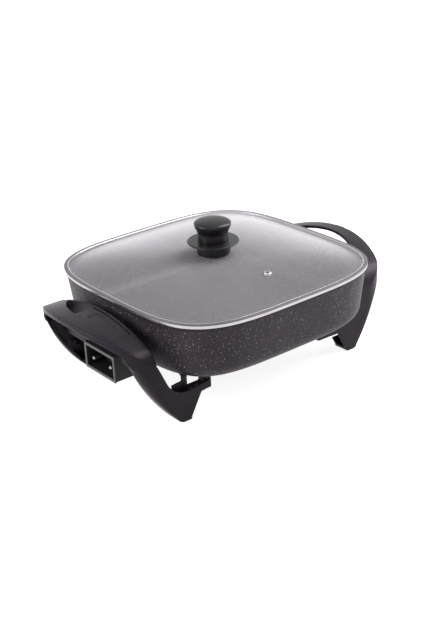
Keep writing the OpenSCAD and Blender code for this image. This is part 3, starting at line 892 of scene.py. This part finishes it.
def channel_side(wall_x, arm_x, bottom_z):
    """Side view of the hollow inside a leg, which the arm's shelf divides."""
    r = leg_sweep_r - shell_t
    points = arc(*sweep_c, r, sweep_angle(bottom_z, r), sweep_angle(arch_top, r), 48)
    return points + [
        (wall_x, arch_top),
        (wall_x, inner_wall_z),
        (arm_x + shell_t, inner_wall_z),
        (arm_x + shell_t, shelf_z + shelf_t),
        (shelf_end_x, shelf_z + shelf_t),
        (shelf_end_x, shelf_z),
        (arm_x + shell_t, shelf_z),
        (arm_x + shell_t, bottom_z),
    ]


def under_arch(drop, x0, x1, w, shoulder, base_z):
    """The space under the arch, w wide each way, from base_z up."""
    flat = cap(arch_r - drop, w, shoulder, base_z - arch_cz)
    return prism([(-y, x + arch_cz) for x, y in flat], "x", x0, x1)


def handle_solid(window_x, arm_x, lip_top):
    """One handle on the +X side, as a sharp-edged solid in millimetres."""
    shell = keep(
        plan_space(0),
        leg_space(0),
        prism(handle_side(window_x, arm_x, lip_top), "y", -handle_w / 2, handle_w / 2),
        arch_space(0),
        under_arch(0, 0, grip_x + 1, handle_w / 2, bend_r, -1),
    )
    under_grip = keep(
        plan_space(shell_t),
        arch_space(grip_t),
        under_arch(grip_t, wall_out_x, grip_x, flange_y, bend_r - grip_t, foot_h),
    )
    channel_x = min(wall_out_x, window_x + shell_t)
    hollows = []
    for s in (-1, 1):
        for shift, bottom_z in ((shell_t, pad_t + shell_t), (-1, foot_h)):
            y = s * (leg_in_y + shift + leg_w / 2)
            side = channel_side(channel_x, arm_x, bottom_z)
            hollow = prism(side, "y", y - leg_w / 2, y + leg_w / 2)
            bend = under_arch(grip_t, 0, grip_x, handle_w / 2 - shell_t, bend_r - shell_t, 0)
            inside = (plan_space(shell_t), leg_space(shell_t), arch_space(grip_t), bend)
            hollows.append(keep(hollow, *inside))
    lip = grip_lip + grip_crown
    cut(
        shell,
        under_grip,
        under_arch(lip, wall_out_x, grip_x + 1, flange_y, lip_bend_r, foot_h),
        under_arch(inner_wall_h, shelf_end_x, wall_out_x + 1, flange_y, inner_bend_r, foot_h),
        under_arch(inner_wall_h, arm_x - 1, grip_x, leg_in_y, inner_bend_r, -1),
        block(arm_x - 1, wall_in_x, -leg_in_y, leg_in_y, 0, arch_top + 1),
        *hollows,
        prism(gap_plan(0), "z", 0, arch_top + 1),
    )
    top = shelf_z + shelf_t
    for s in (-1, 1):
        y = s * post_y
        rib = [(post_x, top - 1), (post_x + 18, top - 1), (post_x + 18, top + 12.5)]
        rib += [(post_x + post_d / 2, post_split_z - 0.3), (post_x, post_split_z - 0.3)]
        join(
            shell,
            rod(post_x, y, shelf_z + 1, post_split_z, post_d),
            prism(rib, "y", y - 1.5, y + 1.5),
        )
        cut(
            shell,
            rod(post_x, y, shelf_z - 1, post_split_z + 1, 4.4),
            rod(post_x, y, shelf_z - 1, shelf_z + 2, 8),
        )
    return shell


def make_handles(plastic):
    right = handle_solid(right_window_x, right_arm_x, arm_z + arm_rise)
    left = handle_solid(left_window_x, left_arm_x, pan_z - 0.3)
    web_z = inlet_top_z + 0.3
    wall_z = arch_top - inner_wall_h
    low_z = web_z - 6
    end_y = leg_in_y + 2
    high_z = wall_z + 8
    half_web = [(36, web_z), (42, low_z), (end_y, low_z), (end_y, high_z)]
    web = half_web + [(-y, z) for y, z in reversed(half_web)]
    join(left, prism(web, "x", wall_in_x, wall_out_x))
    right.name = "handle_shell_right"
    left.name = "handle_shell_left"
    for piece, node in ((right, "handle_right"), (left, "handle_left")):
        soften(piece, 0.8, 5)
        if piece is left:
            piece.data.transform(Matrix.Scale(-1, 4, (1, 0, 0)))
            piece.data.flip_normals()
        finish_piece(piece, plastic, "base", [node])


def make_cover(plastic):
    """The cover over half of the inlet handle's gap, with a scooped pocket in its top."""
    cover = keep(
        prism(gap_plan(cover_gap), "z", 60, arch_top),
        arch_space(cover_drop),
        block(0, grip_x, -handle_w / 2, 12, 0, arch_top),
    )
    pocket_plan = prism(gap_plan(pocket_inset), "z", 60, arch_top)
    pocket = keep(pocket_plan, block(0, grip_x, -48, -4, 0, arch_top))
    cut(pocket, arch_space(pocket_drop))
    cut(cover, arch_space(cover_drop + cover_t), pocket)
    soften(cover, 0.6, 5)
    cover.name = "grip_cover"
    cover.data.transform(Matrix.Scale(-1, 4, (1, 0, 0)))
    cover.data.flip_normals()
    finish_piece(cover, plastic, "base", ["inlet_cover"])


# --- Lid ----------------------------------------------------------------------------------


def dome(s):
    """Height of the dome over its edge at the share s of the way out."""
    return dome_rise * (1 - s**2.4)


def make_glass(glass):
    shares = [1, 0.97, 0.94, 0.9, 0.86, 0.81, 0.76, 0.7]
    shares += [0.64, 0.57, 0.5, 0.42, 0.34, 0.25, 0.17, 0.1]
    low = [(land_inset, glass_z + dome(s), s) for s in reversed(shares)]
    top = [(land_inset, glass_z + glass_t + dome(s), s) for s in shares]
    edge = [(glass_inset + 3, glass_z), (glass_inset, glass_z + 0.6)]
    edge += [(glass_inset, glass_z + glass_t - 0.6), (glass_inset + 3, glass_z + glass_t)]
    pane = loft("glass_dome", low + edge + top)
    weld(pane)
    smooth(pane, 60)
    finish_piece(pane, glass, "lid", ["lid_glass"])


def make_rim(steel, satin):
    """The lid's steel band: a bright side and bead, with a strip between them in a dark copy of the
    steel, a painted reflection of darker surroundings on the flat top.
    """
    top = glass_z + glass_t + 0.3
    skirt = pan_inset + wall_step + 0.9
    profile = rounded(
        [
            (0.9, rim_z - 0.6),
            (0.3, rim_z - 0.5),
            (0.1, rim_z + 0.4),
            (0.1, top - 0.8),
            (0.7, top),
            (3.9, top - 0.05),
            (4.5, top + 0.38),
            (5.7, top + 0.22),
            (rim_w, glass_z + glass_t),
            (glass_inset - 0.4, glass_z + glass_t),
            (glass_inset - 0.4, glass_z),
            (skirt + rim_t, glass_z),
            (skirt + rim_t, rim_z - skirt_h),
            (skirt, rim_z - skirt_h),
            (skirt, rim_z),
            (1.0, rim_z),
        ],
        [0.3, 0.7, 0.6, 0.6, 0.5, 0.8, 0.7, 0.2, 0.05, 0.05, 0.05, 0.5, 0.35, 0.35, 0.5],
        4,
    )
    rim = loft("steel_rim", profile, closed=True)
    weld(rim)
    smooth(rim, 50)
    finish_piece(rim, steel, "lid", ["lid_rim"])
    # Painted reflection: the flat top strip is a darker copy of the rim's steel, standing for the
    # darker surroundings it reflects.
    flat = [(0.03, top - 1.0), (0.05, top - 0.5), (0.5, top), (0.9, top + 0.15), (2.2, top + 0.34)]
    flat += [(4.0, top + 0.32), (4.3, top + 0.28), (4.3, top - 0.3), (0.6, top - 0.6)]
    band = loft("rim_flat", flat, closed=True)
    weld(band)
    smooth(band, 50)
    finish_piece(band, satin, "lid")


def make_knob(plastic):
    base_r = 20.7
    base = lathe(
        "knob_foot",
        rounded([(2.8, base_z), (base_r, base_z), (base_r, guard_z), (2.8, guard_z)], 1.0, 4),
    )
    guard = lathe(
        "finger_guard",
        rounded(
            [(2.8, guard_z), (base_r, guard_z), (31, guard_z + 0.3), (32.5, guard_z + 1.8),
             (31.6, guard_z + 3), (19.2, head_z), (2.8, head_z)],
            [0.6, 1.2, 1.2, 1.0, 2.0],
            5,
        ),
    )
    neck_r = 18.9
    neck_l = 9.0
    crown_r = 23.0
    crown_h = 5.8
    wide_z = head_z + knob_h - crown_h
    wall = []
    for i in range(25):
        t = i / 24
        r = neck_r + (crown_r - neck_r) * (1 - math.cos(math.pi * t)) / 2
        wall.append((r, head_z + neck_l + (wide_z - head_z - neck_l) * t))
    crown = []
    for a in range(4, 88, 4):
        up = crown_h * math.sin(math.radians(a))
        crown.append((crown_r * math.cos(math.radians(a)), wide_z + up))
    head = lathe(
        "knob_grip",
        [(0.01, head_z)] + rounded([(2, head_z), (neck_r, head_z), wall[0]], 0.6, 4)
        + wall[1:] + crown + [(0.01, head_z + knob_h)],
    )
    for piece, node in ((base, "knob_base"), (guard, "knob_guard"), (head, "knob_head")):
        smooth(piece, 50)
        finish_piece(piece, plastic, "lid", [node])


def make_vent(steel, bore_shade_finish):
    share = math.hypot(vent_x, vent_y) / (half - land_inset)
    high = glass_z + dome(share + vent_d / 2 / half) + glass_t
    low = high - glass_t + 0.9
    profile = rounded(
        [(2, high - 2), (2, high + 0.9), (3.4, high + 1.3), (4.6, high + 0.9), (5, high), (3, high),
         (3, low), (4.4, low), (4.4, low - 0.7), (2, low - 0.7), (2, high - 2)],
        [0.4, 0.8, 0.5, 0.2, 0.05, 0.05, 0.2, 0.3, 0.2],
        4,
    )
    ring = lathe("vent_ring", profile[:-1], (vent_x, vent_y, 0), steps=64)
    smooth(ring, 50)
    finish_piece(ring, steel, "lid", ["vent_eyelet"])
    # Painted shade: a dark tube is put in the vent's bore, leaving a narrow hole, so that the hole
    # reads as shaded.
    bore = [(0.8, low - 0.4), (1.99, low - 0.4), (1.99, high + 0.5), (2.3, high + 0.95)]
    bore += [(2.2, high + 1.02), (1.5, high + 0.6), (0.8, high + 0.3)]
    bore_shade_plug = lathe("vent_bore_shade", bore, (vent_x, vent_y, 0), steps=48)
    smooth(bore_shade_plug, 50)
    finish_piece(bore_shade_plug, bore_shade_finish, "lid")


# --- Stage --------------------------------------------------------------------------------


def add_light(name, place, size, power):
    """A square light that faces the middle of the part."""
    lamp = bpy.data.lights.new(name, "AREA")
    lamp.energy = power
    lamp.size = size
    light = bpy.data.objects.new(name, lamp)
    bpy.context.scene.collection.objects.link(light)
    back = Vector(place) - Vector((0, 0, 0.1))
    light.location = place
    light.rotation_mode = "QUATERNION"
    light.rotation_quaternion = back.to_track_quat("Z", "Y")


def make_stage():
    size = 12.0
    floor = new_piece(
        "floor",
        [(-size, -size, 0), (size, -size, 0), (size, size, 0), (-size, size, 0)],
        [(0, 1, 2, 3)],
        1.0,
    )
    finish = Finish("floor_white", Base_Color=(0.4, 0.4, 0.4), Roughness=0.9)
    finish.set(Specular_IOR_Level=0.0)
    rays = finish.tree.nodes.new("ShaderNodeLightPath")
    seen = Value(finish, rays.outputs["Is Camera Ray"])
    seen = seen + Value(finish, rays.outputs["Is Glossy Ray"])
    seen = seen + Value(finish, rays.outputs["Is Transmission Ray"])
    finish.shader.inputs["Emission Strength"].default_value = 0.86
    finish.set(Emission_Color=finish.mix(seen.math("MINIMUM", 1.0), (0, 0, 0), (1, 1, 1)))
    floor.data.materials.append(finish.material)

    world = bpy.data.worlds.new("studio")
    bpy.context.scene.world = world
    world.use_nodes = True
    tree = world.node_tree
    tree.nodes.clear()
    output = tree.nodes.new("ShaderNodeOutputWorld")
    rays = tree.nodes.new("ShaderNodeLightPath")
    soft = tree.nodes.new("ShaderNodeBackground")
    soft.inputs["Color"].default_value = (0.97, 0.98, 1.0, 1)
    soft.inputs["Strength"].default_value = 0.45
    white = tree.nodes.new("ShaderNodeBackground")
    white.inputs["Color"].default_value = (1, 1, 1, 1)
    white.inputs["Strength"].default_value = 1.0
    chosen = rays.outputs["Is Camera Ray"]
    for other in ("Is Glossy Ray", "Is Transmission Ray"):
        either = tree.nodes.new("ShaderNodeMath")
        either.operation = "MAXIMUM"
        tree.links.new(chosen, either.inputs[0])
        tree.links.new(rays.outputs[other], either.inputs[1])
        chosen = either.outputs[0]
    pick = tree.nodes.new("ShaderNodeMixShader")
    tree.links.new(chosen, pick.inputs[0])
    tree.links.new(soft.outputs[0], pick.inputs[1])
    tree.links.new(white.outputs[0], pick.inputs[2])
    tree.links.new(pick.outputs[0], output.inputs["Surface"])

    add_light("key_left", (-1.65, 0.55, 0.8), 0.9, 26)
    add_light("key_right", (1.6, -0.5, 0.8), 0.9, 22)
    add_light("top_soft", (0.9, -0.35, 1.35), 0.9, 22)
    add_light("front_fill", (-0.3, -1.5, 1.1), 1.2, 2.5)


studio_camera()
make_stage()
bpy.context.scene.view_settings.view_transform = "Standard"

coat = stone_coat()
plastic = moulded_plastic()
knob_black = knob_plastic()
steel = rolled_steel("bright_steel", (0.44, 0.41, 0.43), (0.55, 0.52, 0.54))
# A dark copy of the steel, used as painted reflection on the rim's flat top strip.
satin = rolled_steel("steel_painted_dark", (0.12, 0.11, 0.116), (0.16, 0.148, 0.156), 0.2, 0.05)
glass = clear_glass()
# Dark silicone for the knob's gasket, also used for the vent's bore as painted shade.
silicone = plain_finish("silicone", (0.014, 0.013, 0.014), (0.022, 0.02, 0.022), 0.55, 0.8, 0.02)

make_pan(coat)
make_underside(coat)
make_handles(plastic)
make_cover(plastic)
make_glass(glass)
make_rim(steel, satin)
make_knob(knob_black)
make_vent(steel, silicone)

sheath = sheathed_steel()
plating = plated_metal("plated_pins", (0.30, 0.30, 0.31), (0.42, 0.42, 0.43), 0.24)
well_metal = plated_metal("well_metal", (0.42, 0.42, 0.41), (0.60, 0.60, 0.58), 0.26)
screw_metal = plated_metal("zinc_screws", (0.48, 0.48, 0.50), (0.66, 0.66, 0.68), 0.24)
beads = plain_finish("glazed_beads", (0.66, 0.64, 0.58), (0.78, 0.76, 0.70), 0.30)
socket_black = plain_finish("socket_black", (0.003, 0.003, 0.0032), (0.005, 0.005, 0.0055), 0.5)
frame_grey = plain_finish("frame_grey", (0.065, 0.065, 0.06), (0.095, 0.095, 0.088), 0.40)
rubber = plain_finish("foot_rubber", (0.008, 0.008, 0.008), (0.014, 0.013, 0.014), 0.68, 0.6, 0.05)

carried = {
    "heating_element": sheath,
    "terminal_pin_near": plating,
    "terminal_pin_far": plating,
    "terminal_bead_near": beads,
    "terminal_bead_far": beads,
    "thermostat_well": well_metal,
    "inlet_shroud": socket_black,
    "inlet_frame": frame_grey,
    "knob_gasket": silicone,
    "knob_washer": screw_metal,
    "knob_screw": screw_metal,
}
for i in range(1, 5):
    carried[f"handle_screw_{i}"] = screw_metal
    carried[f"foot_pad_{i}"] = rubber
for name, material in carried.items():
    piece = nodes[name]
    if not piece.data.materials:
        piece.data.materials.append(material)
    for k in range(len(piece.material_slots)):
        piece.material_slots[k].material = material
